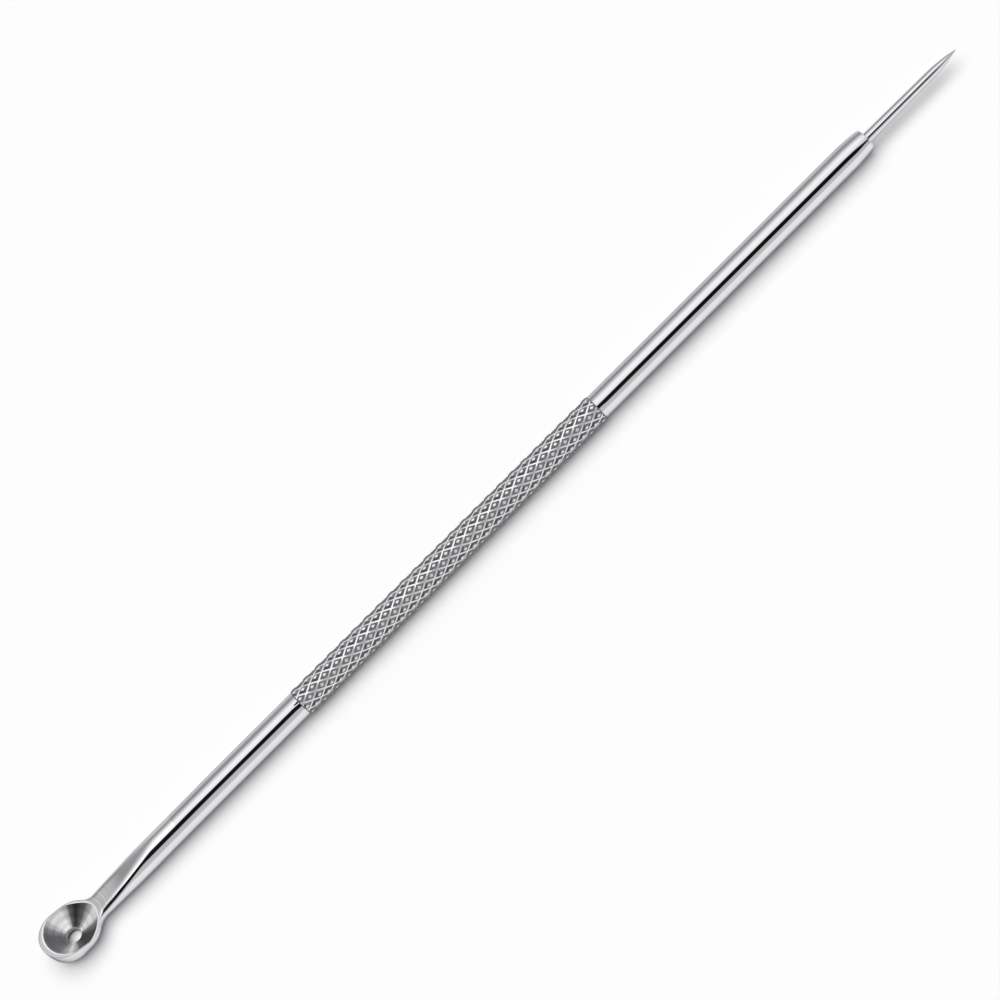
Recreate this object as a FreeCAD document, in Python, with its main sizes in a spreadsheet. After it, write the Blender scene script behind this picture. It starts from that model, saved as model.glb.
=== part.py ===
import FreeCAD, Part
import math
import os
import Sketcher

# Blackhead extractor: a knurled steel bar with a dished spoon at one end and a lancet needle at the other.
# Each piece is drawn from the spoon's tip along +X on the bar's axis, with +Z up out of the spoon,
# then set down so that the knurl rests on Z = 0 with the middle of the length over the origin.

os.makedirs("parts", exist_ok=True)
doc = FreeCAD.newDocument("BlackheadExtractor")

# Driving dimensions: lengths in millimetres, measured along the bar from the spoon's tip or up from its axis,
# angles in degrees, counts and shares as plain numbers
drivingSizes = [
    ("overall_length", 140.0),
    ("bar_diameter", 3.15),
    ("cut_overrun", 1.0),
    # knurl rolled on the bar
    ("knurl_start", 38.9),
    ("knurl_length", 45.7),
    ("knurl_diameter", 3.42),
    ("knurl_depth", 0.22),
    ("knurl_pitch", 1.865),
    ("knurl_starts", 9),
    ("knurl_land_share", 0.3),
    ("knurl_core_share", 0.8),
    # tapered nose and the bore that holds the needle
    ("nose_length", 3.45),
    ("nose_diameter", 2.64),
    ("nose_edge", 0.09),
    ("tang_length", 9.0),
    ("tang_end_room", 0.4),
    ("tang_edge", 0.15),
    # lancet needle
    ("needle_reach", 13.95),
    ("needle_diameter", 1.28),
    ("needle_point_diameter", 1.1),
    ("needle_point_length", 5.4),
    # outside of the spoon: a round-bottomed cup at the tip and another at the heel
    ("bowl_diameter", 6.06),
    ("bowl_floor", 1.6),
    ("bowl_floor_round", 1.55),
    ("bowl_side_curve", 8.0),
    ("heel_run", 1.22),
    ("heel_floor", 1.52),
    # tilted rim, and the dish inside the bowl
    ("rim_tilt", 14.5),
    ("dish_run", 0.758),
    ("dish_height", 0.7625),
    ("dish_lean", 12.0),
    ("dish_lip", 0.11),
    ("dish_depth", 1.6),
    ("dish_wall_curve", 10.0),
    ("hole_diameter", 1.76),
    # round sections of the neck, from inside the heel to the straight bar
    ("neck_start", 5.0),
    ("neck_start_round", 2.0),
    ("neck_start_floor", 1.4),
    ("neck_shoulder", 6.0),
    ("neck_shoulder_round", 1.95),
    ("neck_shoulder_floor", 1.56),
    ("neck_waist", 7.1),
    ("neck_waist_round", 1.5),
    ("neck_waist_floor", 1.64),
    ("neck_thin", 8.2),
    ("neck_thin_round", 1.42),
    ("neck_thin_floor", 1.63),
    ("neck_low", 12.0),
    ("neck_low_round", 1.55),
    ("neck_low_floor", 1.68),
    ("neck_rise", 18.0),
    ("neck_rise_round", 1.57),
    ("neck_rise_floor", 1.65),
    ("neck_end", 25.0),
    # ramp cut down the neck into the bowl
    ("ramp_foot", 8.24),
    ("ramp_foot_height", 0.465),
    ("ramp_slope", 9.1),
    ("ramp_valley_round", 5.0),
    ("ramp_bend_place", 10.3),
    ("ramp_bend_round", 20.0),
    ("ramp_runout_slope", 6.0),
]
sheet = doc.addObject("Spreadsheet::Sheet", "sizes")
for row, (alias, value) in enumerate(drivingSizes, start=1):
    sheet.set(f"A{row}", alias)
    sheet.set(f"B{row}", str(value))
    sheet.setAlias(f"B{row}", alias)
doc.recompute()

# Sizes that follow from the driving ones, as expressions
barRadius = "(sizes.bar_diameter / 2)"
needleRadius = "(sizes.needle_diameter / 2)"
crestRadius = "(sizes.knurl_diameter / 2)"
rootRadius = f"({crestRadius} - sizes.knurl_depth)"
knurlEnd = "(sizes.knurl_start + sizes.knurl_length)"
noseEnd = "(sizes.overall_length - sizes.needle_reach)"
tilt = "(sizes.rim_tilt * 1 deg)"
dishLean = "(sizes.dish_lean * 1 deg)"
bowlRadius = "(sizes.bowl_diameter / 2)"
heelPlace = f"({bowlRadius} + sizes.heel_run)"
dishPlace = f"({bowlRadius} + sizes.dish_run)"
rimAtTip = f"(sizes.dish_height + {dishPlace} * tan{tilt})"
dishRadius = f"({bowlRadius} - sizes.dish_lip)"
holeRadius = "(sizes.hole_diameter / 2)"


def worth(expression):
    return float(sheet.evalExpression(expression))


def originPlane(body, role):
    return next(feature for feature in body.Origin.OriginFeatures if feature.Role == role)


def makeBody(label):
    body = doc.addObject("PartDesign::Body", label)
    body.setExpression("Placement.Base.x", "-sizes.overall_length / 2")
    body.setExpression("Placement.Base.z", crestRadius)
    return body


def makeSketch(body, name, role):
    sketch = body.newObject("Sketcher::SketchObject", name)
    sketch.AttachmentSupport = (originPlane(body, role), [""])
    sketch.MapMode = "FlatFace"
    return sketch


def bindConstraint(sketch, constraint, expression):
    number = sketch.addConstraint(constraint)
    sketch.setExpression(f"Constraints[{number}]", expression)


def arcBetween(start, end, radius):
    # counter-clockwise arc from start to end, at most half a turn
    run = end - start
    left = FreeCAD.Vector(-run.y, run.x, 0).normalize()
    center = (start + end) / 2 + left * math.sqrt(radius ** 2 - (run.Length / 2) ** 2)
    angles = [math.atan2(point.y - center.y, point.x - center.x) for point in (start, end)]
    return Part.ArcOfCircle(Part.Circle(center, FreeCAD.Vector(0, 0, 1), radius), *angles)


def drawOutline(sketch, points, leftArcs, rightArcs={}):
    # closed outline through points, each a pair of expressions; an arc leaves the points that the two
    # dictionaries list, with its radius, and bows to the left or to the right of its run
    places = [FreeCAD.Vector(worth(along), worth(up), 0) for along, up in points]
    ends = []
    for number, start in enumerate(places):
        finish = places[(number + 1) % len(places)]
        if number in leftArcs:
            sketch.addGeometry(arcBetween(finish, start, worth(leftArcs[number])), False)
        elif number in rightArcs:
            sketch.addGeometry(arcBetween(start, finish, worth(rightArcs[number])), False)
        else:
            sketch.addGeometry(Part.LineSegment(start, finish), False)
        ends.append((2, 1) if number in leftArcs else (1, 2))
    for number, (along, up) in enumerate(points):
        following = (number + 1) % len(points)
        first, last = ends[number]
        joint = Sketcher.Constraint("Coincident", number, last, following, ends[following][0])
        sketch.addConstraint(joint)
        bindConstraint(sketch, Sketcher.Constraint("DistanceX", -1, 1, number, first, worth(along)), along)
        bindConstraint(sketch, Sketcher.Constraint("DistanceY", -1, 1, number, first, worth(up)), up)
    for number, radius in {**leftArcs, **rightArcs}.items():
        bindConstraint(sketch, Sketcher.Constraint("Radius", number, worth(radius)), radius)


def drawCircle(sketch, height, radius):
    # circle centred on the sketch's upright axis
    center = FreeCAD.Vector(0, worth(height), 0)
    sketch.addGeometry(Part.Circle(center, FreeCAD.Vector(0, 0, 1), worth(radius)), False)
    bindConstraint(sketch, Sketcher.Constraint("DistanceX", -1, 1, 0, 3, 0.0), "0")
    bindConstraint(sketch, Sketcher.Constraint("DistanceY", -1, 1, 0, 3, worth(height)), height)
    bindConstraint(sketch, Sketcher.Constraint("Radius", 0, worth(radius)), radius)


def turn(body, kind, name, sketch, axis):
    feature = body.newObject(kind, name)
    feature.Profile = sketch
    feature.ReferenceAxis = (sketch, [axis])
    feature.Angle = 360
    doc.recompute()
    return feature


def drill(body, name, sketch, diameter):
    hole = body.newObject("PartDesign::Hole", name)
    hole.Profile = sketch
    hole.DrillPoint = "Flat"
    hole.setExpression("Diameter", diameter)
    return hole


# Bar: shank, core under the knurl, second shank and a rounded taper at the nose
def addBar(body):
    coreRadius = f"(sizes.knurl_core_share * {rootRadius})"
    noseRadius = "(sizes.nose_diameter / 2)"
    noseRun = "(sizes.nose_length - sizes.nose_edge)"
    noseDrop = f"({barRadius} - {noseRadius})"
    noseRound = f"(({noseRun} ^ 2 + {noseDrop} ^ 2) / (2 * {noseDrop}))"
    sketch = makeSketch(body, "bar_profile", "XZ_Plane")
    points = [
        ("sizes.neck_end", "0"),
        ("sizes.neck_end", barRadius),
        ("sizes.knurl_start", barRadius),
        ("sizes.knurl_start", coreRadius),
        (knurlEnd, coreRadius),
        (knurlEnd, barRadius),
        (f"{noseEnd} - sizes.nose_length", barRadius),
        (f"{noseEnd} - sizes.nose_edge", noseRadius),
        (noseEnd, f"{noseRadius} - sizes.nose_edge"),
        (noseEnd, "0"),
    ]
    drawOutline(sketch, points, {6: noseRound, 7: "sizes.nose_edge"})
    turn(body, "PartDesign::Revolution", "bar", sketch, "H_Axis")


# Neck: loft through circles, from inside the heel over its shoulder and waist to the straight bar
def addNeck(body):
    sketches = []
    for name in ("neck_start", "neck_shoulder", "neck_waist", "neck_thin", "neck_low", "neck_rise"):
        sketch = makeSketch(body, f"{name}_section", "YZ_Plane")
        sketch.setExpression("AttachmentOffset.Base.z", f"sizes.{name}")
        drawCircle(sketch, f"sizes.{name}_round - sizes.{name}_floor", f"sizes.{name}_round")
        sketches.append(sketch)
    last = makeSketch(body, "neck_end_section", "YZ_Plane")
    last.setExpression("AttachmentOffset.Base.z", "sizes.neck_end")
    drawCircle(last, "0", barRadius)
    doc.recompute()
    loft = body.newObject("PartDesign::AdditiveLoft", "neck")
    loft.Profile = sketches[0]
    loft.Sections = sketches[1:] + [last]
    doc.recompute()


# Bowl: two turned cups with bowed sides and rounded floors, and the straight stretch between them; the rim is
# cut later
def addBowl(body):
    top = f"({rimAtTip} + sizes.cut_overrun)"
    flat = f"({bowlRadius} - sizes.bowl_floor_round)"

    def cupSide(floor):
        # top edge, widest place and floor edge of a cup's side
        widest = f"(sizes.bowl_floor_round - {floor})"
        bow = f"(sizes.bowl_side_curve - sqrt(sizes.bowl_side_curve ^ 2 - ({top} - {widest}) ^ 2))"
        return [(f"({bowlRadius} - {bow})", top), (bowlRadius, widest), (flat, f"-{floor}")]

    cups = [("bowl", bowlRadius, "sizes.bowl_floor"), ("heel", heelPlace, "sizes.heel_floor")]
    sections = []
    for name, place, floor in cups:
        profile = makeSketch(body, f"{name}_profile", "XZ_Plane")
        profile.setExpression("AttachmentOffset.Base.x", place)
        points = [("0", top)] + cupSide(floor) + [("0", f"-{floor}")]
        drawOutline(profile, points, {1: "sizes.bowl_side_curve", 2: "sizes.bowl_floor_round"})
        turn(body, "PartDesign::Revolution", name, profile, "V_Axis")
        section = makeSketch(body, f"{name}_section", "YZ_Plane")
        section.setExpression("AttachmentOffset.Base.z", place)
        points = cupSide(floor) + [(f"-{across}", up) for across, up in reversed(cupSide(floor))]
        arcs = {0: "sizes.bowl_side_curve", 1: "sizes.bowl_floor_round"}
        drawOutline(section, points, {**arcs, 3: arcs[1], 4: arcs[0]})
        sections.append(section)
    doc.recompute()
    loft = body.newObject("PartDesign::AdditiveLoft", "bowl_middle")
    loft.Profile = sections[0]
    loft.Sections = sections[1:]
    doc.recompute()


# Ramp: one cut that leaves the tilted rim, the valley, the ramp, its bend and its run-out at the bar's top
def cutRamp(body):
    slope = "(sizes.ramp_slope * 1 deg)"
    runout = "(sizes.ramp_runout_slope * 1 deg)"
    rampAtTip = f"(sizes.ramp_foot_height - sizes.ramp_foot * tan{slope})"
    valley = f"(({rimAtTip} - {rampAtTip}) / (tan{tilt} + tan{slope}))"
    valleyHeight = f"({rimAtTip} - {valley} * tan{tilt})"
    valleyReach = f"(sizes.ramp_valley_round * tan(({tilt} + {slope}) / 2))"
    bendHeight = f"({rampAtTip} + sizes.ramp_bend_place * tan{slope})"
    bendEnd = f"(sizes.ramp_bend_place + sizes.ramp_bend_round * (sin{slope} - sin{runout}))"
    bendEndHeight = f"({bendHeight} + sizes.ramp_bend_round * (cos{runout} - cos{slope}))"
    cutEnd = f"({bendEnd} + ({barRadius} - {bendEndHeight}) / tan{runout})"
    cutTop = f"({barRadius} + {bowlRadius})"
    sketch = makeSketch(body, "ramp_profile", "XZ_Plane")
    points = [
        ("-sizes.cut_overrun", f"{rimAtTip} + sizes.cut_overrun * tan{tilt}"),
        (f"{valley} - {valleyReach} * cos{tilt}", f"{valleyHeight} + {valleyReach} * sin{tilt}"),
        (f"{valley} + {valleyReach} * cos{slope}", f"{valleyHeight} + {valleyReach} * sin{slope}"),
        ("sizes.ramp_bend_place", bendHeight),
        (bendEnd, bendEndHeight),
        (cutEnd, barRadius),
        (cutEnd, cutTop),
        ("-sizes.cut_overrun", cutTop),
    ]
    drawOutline(sketch, points, {3: "sizes.ramp_bend_round"}, {1: "sizes.ramp_valley_round"})
    pocket = body.newObject("PartDesign::Pocket", "ramp")
    pocket.Profile = sketch
    pocket.SideType = "Symmetric"
    pocket.setExpression("Length", "sizes.bowl_diameter + 2 * sizes.cut_overrun")
    doc.recompute()


# Dish: slightly bowed cone turned into the bowl about a leaning axis, with the extraction hole through it
def cutDish(body):
    chordRun = f"({dishRadius} - {holeRadius})"
    chord = f"sqrt({chordRun} ^ 2 + sizes.dish_depth ^ 2)"
    lean = f"(atan(sizes.dish_depth / {chordRun}) + asin({chord} / (2 * sizes.dish_wall_curve)))"
    sketch = makeSketch(body, "dish_profile", "XZ_Plane")
    sketch.setExpression("AttachmentOffset.Base.x", dishPlace)
    sketch.setExpression("AttachmentOffset.Base.y", "sizes.dish_height")
    sketch.setExpression("AttachmentOffset.Rotation.Angle", f"-{dishLean}")
    points = [
        ("0", "sizes.cut_overrun"),
        (f"{dishRadius} + sizes.cut_overrun / tan({lean})", "sizes.cut_overrun"),
        (dishRadius, "0"),
        (holeRadius, "-sizes.dish_depth"),
        ("0", "-sizes.dish_depth"),
    ]
    drawOutline(sketch, points, {2: "sizes.dish_wall_curve"})
    turn(body, "PartDesign::Groove", "dish", sketch, "V_Axis")
    mouth = makeSketch(body, "hole_place", "XY_Plane")
    mouth.AttachmentOffset = FreeCAD.Placement(FreeCAD.Vector(), FreeCAD.Rotation(FreeCAD.Vector(0, 1, 0), 1))
    mouth.setExpression("AttachmentOffset.Base.x", dishPlace)
    mouth.setExpression("AttachmentOffset.Base.z", "sizes.dish_height")
    mouth.setExpression("AttachmentOffset.Rotation.Angle", dishLean)
    drawCircle(mouth, "0", holeRadius)
    doc.recompute()
    hole = drill(body, "extraction_hole", mouth, "sizes.hole_diameter")
    hole.DepthType = "ThroughAll"
    doc.recompute()


# Bore: blind hole up the nose that takes the needle's tang
def cutBore(body):
    mouth = makeSketch(body, "bore_place", "YZ_Plane")
    mouth.setExpression("AttachmentOffset.Base.z", noseEnd)
    drawCircle(mouth, "0", needleRadius)
    doc.recompute()
    bore = drill(body, "needle_bore", mouth, "sizes.needle_diameter")
    bore.setExpression("Depth", "sizes.tang_length + sizes.tang_end_room")
    doc.recompute()


# Knurl: diamonds between two crossing families of helical grooves. Groove crossings stand in columns along
# the bar, half a pitch apart, and every second column is turned by half a diamond. A diamond is a pyramid
# over four crossings, cut flat at the crest, so that all its faces are plane. The end columns hold halves.
def makeKnurl():
    starts = int(worth("sizes.knurl_starts"))
    length = worth("sizes.knurl_length")
    root = worth(rootRadius)
    crest = worth(crestRadius)
    columns = max(round(2 * length / worth("sizes.knurl_pitch")), 2)
    apex = root + (crest - root) / (1 - worth("sizes.knurl_land_share"))
    halfTurn = math.pi / starts

    def crossing(column, halfTurns):
        angle = halfTurns * halfTurn - math.pi / 2
        return FreeCAD.Vector(length * column / columns, root * math.cos(angle), root * math.sin(angle))

    def plane(points):
        return Part.Face(Part.makePolygon(points + points[:1]))

    faces = []
    caps = {0: [], columns: []}
    for column in range(columns + 1):
        for number in range(starts):
            halfTurns = 2 * number + column % 2
            angle = halfTurns * halfTurn - math.pi / 2
            outward = FreeCAD.Vector(0, math.cos(angle), math.sin(angle))
            middle = FreeCAD.Vector(length * column / columns, 0, 0)
            peak = middle + outward * apex
            corners = [crossing(column, halfTurns - 1), crossing(column, halfTurns + 1)]
            if column < columns:
                corners.insert(1, crossing(column + 1, halfTurns))
            if column > 0:
                corners.append(crossing(column - 1, halfTurns))
            land = []
            for corner in corners:
                height = corner.dot(outward)
                land.append(corner + (peak - corner) * ((crest - height) / (apex - height)))
            for first in range(len(corners)):
                second = (first + 1) % len(corners)
                isCutSide = abs(corners[first].x - corners[second].x) < length / columns / 2
                if not isCutSide:
                    faces.append(plane([corners[first], corners[second], land[second], land[first]]))
            faces.append(plane(land))
            if column in caps:
                low, high = (0, 1) if column == columns else (0, 2)
                caps[column] += [corners[low], land[low], land[high]]
    faces += [plane(points) for points in caps.values()]
    solid = Part.Solid(Part.Shell(faces))
    if solid.Volume < 0:
        solid.reverse()
    knurl = doc.addObject("Part::Feature", "knurl")
    knurl.Shape = solid
    knurl.setExpression("Placement.Base.x", "sizes.knurl_start - sizes.overall_length / 2")
    knurl.setExpression("Placement.Base.z", crestRadius)
    return knurl


def makeHandle():
    body = makeBody("handle_bar")
    addBar(body)
    addNeck(body)
    addBowl(body)
    cutRamp(body)
    cutDish(body)
    cutBore(body)
    handle = doc.addObject("Part::MultiFuse", "handle_with_knurl")
    handle.Shapes = [body, makeKnurl()]
    handle.Label = "spoon_handle"
    return handle


# Needle: tang with a broken edge, slightly tapered shank and a long round point
def makeNeedle():
    body = makeBody("needle_body")
    body.Label = "lancet_needle"
    tangEnd = f"({noseEnd} - sizes.tang_length)"
    pointRadius = "(sizes.needle_point_diameter / 2)"
    pointRound = f"((sizes.needle_point_length ^ 2 + {pointRadius} ^ 2) / (2 * {pointRadius}))"
    sketch = makeSketch(body, "needle_profile", "XZ_Plane")
    points = [
        (tangEnd, "0"),
        (tangEnd, f"{needleRadius} - sizes.tang_edge"),
        (f"{tangEnd} + sizes.tang_edge", needleRadius),
        (noseEnd, needleRadius),
        ("sizes.overall_length - sizes.needle_point_length", pointRadius),
        ("sizes.overall_length", "0"),
    ]
    drawOutline(sketch, points, {4: pointRound})
    turn(body, "PartDesign::Revolution", "needle", sketch, "H_Axis")
    return body


pieces = [makeHandle(), makeNeedle()]
doc.recompute()

for thing in doc.Objects:
    if {"Invalid", "Error"} & set(thing.State):
        raise RuntimeError(f"{thing.Label} failed: {thing.State}")
for piece in pieces:
    shape = piece.Shape
    if shape.isNull() or not shape.isValid() or len(shape.Solids) != 1:
        raise RuntimeError(f"{piece.Label} is not one valid solid")
    shape.exportStep(f"parts/{piece.Label}.step")
    print(f"{piece.Label}: {shape.Volume:.2f} mm3, {len(shape.Faces)} faces")
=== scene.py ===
import bpy
import math
import numpy as np
from mathutils import Matrix, Vector


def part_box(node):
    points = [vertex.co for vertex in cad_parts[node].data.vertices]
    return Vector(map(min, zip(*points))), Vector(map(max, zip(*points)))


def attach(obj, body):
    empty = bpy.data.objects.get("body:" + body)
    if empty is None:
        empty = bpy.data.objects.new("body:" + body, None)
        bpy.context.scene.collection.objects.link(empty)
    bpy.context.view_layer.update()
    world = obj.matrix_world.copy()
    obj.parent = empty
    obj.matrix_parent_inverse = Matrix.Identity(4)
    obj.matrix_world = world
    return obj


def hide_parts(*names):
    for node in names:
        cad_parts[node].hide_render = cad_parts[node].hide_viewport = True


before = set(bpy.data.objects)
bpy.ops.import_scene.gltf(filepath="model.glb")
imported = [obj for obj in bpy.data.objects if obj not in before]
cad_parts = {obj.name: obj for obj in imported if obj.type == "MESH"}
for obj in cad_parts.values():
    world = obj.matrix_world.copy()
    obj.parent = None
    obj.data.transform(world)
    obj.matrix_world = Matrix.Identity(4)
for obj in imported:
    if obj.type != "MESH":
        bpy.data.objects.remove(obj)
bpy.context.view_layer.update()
print("frame loaded:", sorted(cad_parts))

mm = 0.001
handleLow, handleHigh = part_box("spoon_handle")
needleLow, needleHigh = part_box("lancet_needle")
tipX = handleLow[0]  # the spoon's tip, where distances along the bar start
axisZ = (needleLow[2] + needleHigh[2]) / 2  # height of the bar's axis
overallLength = (needleHigh[0] - tipX) / mm
noseEnd = (handleHigh[0] - tipX) / mm
crestRadius = axisZ / mm  # the knurl's crests rest on the floor
halvings = 46  # steps in which solve narrows its bracket
weldDigits = 6  # decimals of a millimetre to which welded points agree
sharpAngle = math.radians(32)  # edges that fold more than this stay sharp


# Shared maths: places are (along, across, up) in millimetres from the spoon's tip and the bar's axis

def place(along, across, up):
    return np.stack(np.broadcast_arrays(along, across, up), axis=-1).astype(float)


def solve(gap, low, high):  # halves the bracket until the sign change of gap is pinned, on whole arrays
    low, high = np.broadcast_arrays(np.asarray(low, float), np.asarray(high, float))
    for _ in range(halvings):
        middle = (low + high) / 2
        inside = gap(middle) < 0
        low = np.where(inside, middle, low)
        high = np.where(inside, high, middle)
    return (low + high) / 2


def ease(value, start, end):  # 0 before start, 1 after end, smooth between them
    share = np.clip((value - start) / (end - start), 0, 1)
    return share * share * (3 - 2 * share)


def mix(first, second, share):
    return first + (second - first) * share


class Shell:  # collects grids of points and welds them into one closed mesh
    def __init__(self, *finishNames):
        self.finishNames = finishNames  # in the order of the mesh's materials
        self.points, self.faces, self.uvs, self.materialNumbers = [], [], [], []
        self.count = 0

    def grid(self, points, finish, columnLabels, rowLabels, wrap=False, split=None):
        rows, columns = points.shape[:2]
        numbers = self.count + np.arange(rows * columns).reshape(rows, columns)
        labels = np.stack(np.broadcast_arrays(columnLabels, rowLabels), axis=-1)
        labels = np.broadcast_to(labels, (rows, columns + wrap, 2))
        if wrap:
            numbers = np.concatenate([numbers, numbers[:, :1]], axis=1)
        corners = [(slice(None, -1), slice(None, -1)), (slice(None, -1), slice(1, None)),
                   (slice(1, None), slice(1, None)), (slice(1, None), slice(None, -1))]
        quads = np.stack([numbers[corner] for corner in corners], axis=-1).reshape(-1, 4)
        cornerLabels = np.stack([labels[corner] for corner in corners], axis=-2).reshape(-1, 4, 2)
        self.points.append(points.reshape(-1, 3))
        self.count += rows * columns
        picks = [np.arange(4)[None]]  # whole quads, unless each is cut along one diagonal
        if split is not None:
            split = split.reshape(-1, 1)
            picks = [np.where(split, [[0, 1, 2]], [[0, 1, 3]]), np.where(split, [[0, 2, 3]], [[1, 2, 3]])]
        for pick in picks:
            self.faces.append(np.take_along_axis(quads, pick, axis=1))
            self.uvs.append(np.take_along_axis(cornerLabels, pick[..., None], axis=1))
            self.materialNumbers.append(np.full(len(quads), self.finishNames.index(finish)))

    def build(self, name):
        points = np.concatenate(self.points)
        _, keep, weld = np.unique(points.round(weldDigits), axis=0, return_index=True, return_inverse=True)
        weld = weld.reshape(-1)
        frameAt = np.array([tipX, 0, axisZ])
        faces, uvs, numbers = [], [], []
        for part, labels, number in zip(self.faces, self.uvs, self.materialNumbers):
            part = weld[part]
            after = np.roll(part, -1, axis=1)
            doubled = (part == after)
            whole = ~doubled.any(axis=1)
            faces += part[whole].tolist()
            uvs.append(labels[whole].reshape(-1, 2))
            numbers.append(number[whole])
            once = (doubled.sum(axis=1) == 1) & (part.shape[1] == 4)  # quads that close to triangles
            order = np.argsort(doubled[once], axis=1, kind="stable")[:, :3]
            order = np.sort(order, axis=1)
            faces += np.take_along_axis(part[once], order, axis=1).tolist()
            uvs.append(np.take_along_axis(labels[once], order[..., None], axis=1).reshape(-1, 2))
            numbers.append(number[once])
        mesh = bpy.data.meshes.new(name)
        mesh.from_pydata((points[keep] * mm + frameAt).tolist(), [], faces)
        mesh.uv_layers.new(name="surface").data.foreach_set("uv", np.concatenate(uvs).ravel())
        for finishName in self.finishNames:
            mesh.materials.append(materials[finishName])
        mesh.polygons.foreach_set("material_index", np.concatenate(numbers).astype(np.int32))
        mesh.polygons.foreach_set("use_smooth", np.ones(len(faces), dtype=bool))
        mesh.set_sharp_from_angle(angle=sharpAngle)
        mesh.validate()
        mesh.update()
        piece = bpy.data.objects.new(name, mesh)
        bpy.context.collection.objects.link(piece)
        return piece


# Bar, nose and knurl

bar = {
    "radius": 1.575,
    "columns": 126,  # points round the bar, 14 to each knurl start
    "bendRows": 18,  # rings from the neck's end to the straight bar
    "shankStep": 1.0,
}

nose = {
    "length": 3.45,
    "radius": 1.32,
    "edge": 0.05,
    "boreRadius": 0.655,
    "boreEdge": 0.04,
    "boreDepth": 9.4,
    "boreFirst": 0.5,  # depth of the first ring behind the mouth
    "rows": 18,
    "edgeRows": 6,
    "boreRows": 6,
}

knurl = {
    "start": 38.9,
    "length": 45.7,
    "halfPitches": 49,
    "cells": 7,  # grid cells in half a diamond
    "depth": 0.22,
    "floorShare": 1 / 7,
    "landShare": 0.24,
    "moveCells": 3,  # cells that the pattern is moved along
}

# Neck: round sections from inside the bowl to the straight bar

neck = {
    "along": [5.0, 6.0, 7.1, 8.2, 12.0, 18.0, 25.0, 33.0],
    "radius": [1.9, 1.93, 1.57, 1.49, 1.57, 1.57, 1.575, 1.575],
    "floor": [1.4, 1.56, 1.64, 1.63, 1.68, 1.65, 1.59, 1.575],  # depth of the underside below the axis
    "blendAlong": [7.0, 7.6, 8.5, 11.0, 15.0, 19.0],
    "blend": [0.12, 0.5, 0.56, 0.5, 0.4, 0.1],  # how far the ramp's edges are rounded
    "cutAlong": [7.6, 8.24, 9.88, 11.5, 13.2, 15.5, 20.0],
    "cut": [0.37, 0.465, 0.66, 0.85, 1.09, 1.45, 2.2],  # height of the ramp over the bar's axis
    "cutJoin": 0.6,  # how far past the second station this cut has replaced the rim's
    "twist": [0.0, 0.0, 0.06, 0.15, 0.19, 0.2, 0.2],  # fall of the ramp towards the far side
    "end": 20.0,  # where the points stand evenly round the bar
    "loopFade": 0.3,  # share of the rows in which the outline of the first one fades
    "spreadFrom": 0.2,  # share from which the points spread evenly
    "rows": 64,
}


def curveThrough(places, values):  # natural cubic: its bends at the stations solve one row of sums each
    places, values = np.array(places, float), np.array(values, float)
    gaps, rises = np.diff(places), np.diff(values) / np.diff(places)
    rows = np.eye(len(places))
    inner = np.arange(1, len(places) - 1)
    rows[inner, inner - 1], rows[inner, inner + 1] = gaps[:-1] / 6, gaps[1:] / 6
    rows[inner, inner] = (gaps[:-1] + gaps[1:]) / 3
    bends = np.linalg.solve(rows, np.pad(np.diff(rises), 1))

    def at(along):
        along = np.clip(along, places[0], places[-1])
        step = np.clip(np.searchsorted(places, along) - 1, 0, len(gaps) - 1)
        gap, second = gaps[step], (along - places[step]) / gaps[step]
        first = 1 - second
        bend = (first ** 3 - first) * bends[step] + (second ** 3 - second) * bends[step + 1]
        return first * values[step] + second * values[step + 1] + gap ** 2 / 6 * bend
    return at


neckRadius = curveThrough(neck["along"], neck["radius"])
neckFloor = curveThrough(neck["along"], neck["floor"])


def neckMiddle(along):  # height of the section's centre
    return neckRadius(along) - neckFloor(along)


# Spoon: slot-shaped bowl with a rounded floor, softly joined to the neck, then cut by the ramp and the dish

spoon = {
    "bowlAt": 3.03,
    "heelAt": 4.25,
    "bowlRadius": 3.03,
    "bowlFloor": 1.6,
    "heelFloor": 1.52,
    "floorRound": 1.55,
    "sideCurve": 8.0,
    "bowLimit": 0.9,  # share of that radius up to which a side can bow
    "filletLow": 0.6,  # width of the fillet between bowl and neck, under and at the rim
    "filletHigh": 0.25,
    "filletRise": (-1.2, 0.2),  # heights between which the width changes
    "rimTilt": math.radians(14.5),
    "dishCenter": (3.72, 0.782),  # along and up
    "dishLean": math.radians(15.0),
    "dishRadius": 3.08,
    "dishDepth": 1.53,
    "dishCurve": 10.0,
    "holeRadius": 0.88,
    "holeEdge": 0.05,
    "liftPower": 8,  # the higher, the later the dish leaves its arc for the rim
    "lipLeast": 0.06,
    "lipEdge": 0.1,
    "edgeShare": 0.9,  # how much of that edge lies on the wall
    "lipInner": 0.07,
    "landInner": 0.25,  # share of the land that its inner round takes
    "sector": math.radians(25.0),  # half the angle that the neck takes up round the dish
    "sectorColumns": 24,
    "sectorReach": 0.9,  # widest rim at the corners of the sector
    "rimColumns": 256,
    "dishRows": 30,
    "innerRows": 3,
    "landRows": 4,
    "holeRows": 4,
    "wallRows": 39,
    "edgeRows": 4,
    "undersideRows": 26,
    "eyeHeight": 1.7,  # height above the rim from which the outside is swept
    "underDrop": 38.0,  # degrees off the eye's axis where underside and wall meet
    "underExtra": 12.5,  # more of them by the neck
    "underFade": (math.radians(14), math.radians(80)),  # angles from the neck over which these fade
}

ramp = {
    "foot": 8.24,
    "footHeight": 0.465,
    "slope": math.radians(9.1),
    "valleyRound": 5.0,
    "bendAt": 10.3,
    "bendRound": 20.0,
    "runout": math.radians(6.0),
}

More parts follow.
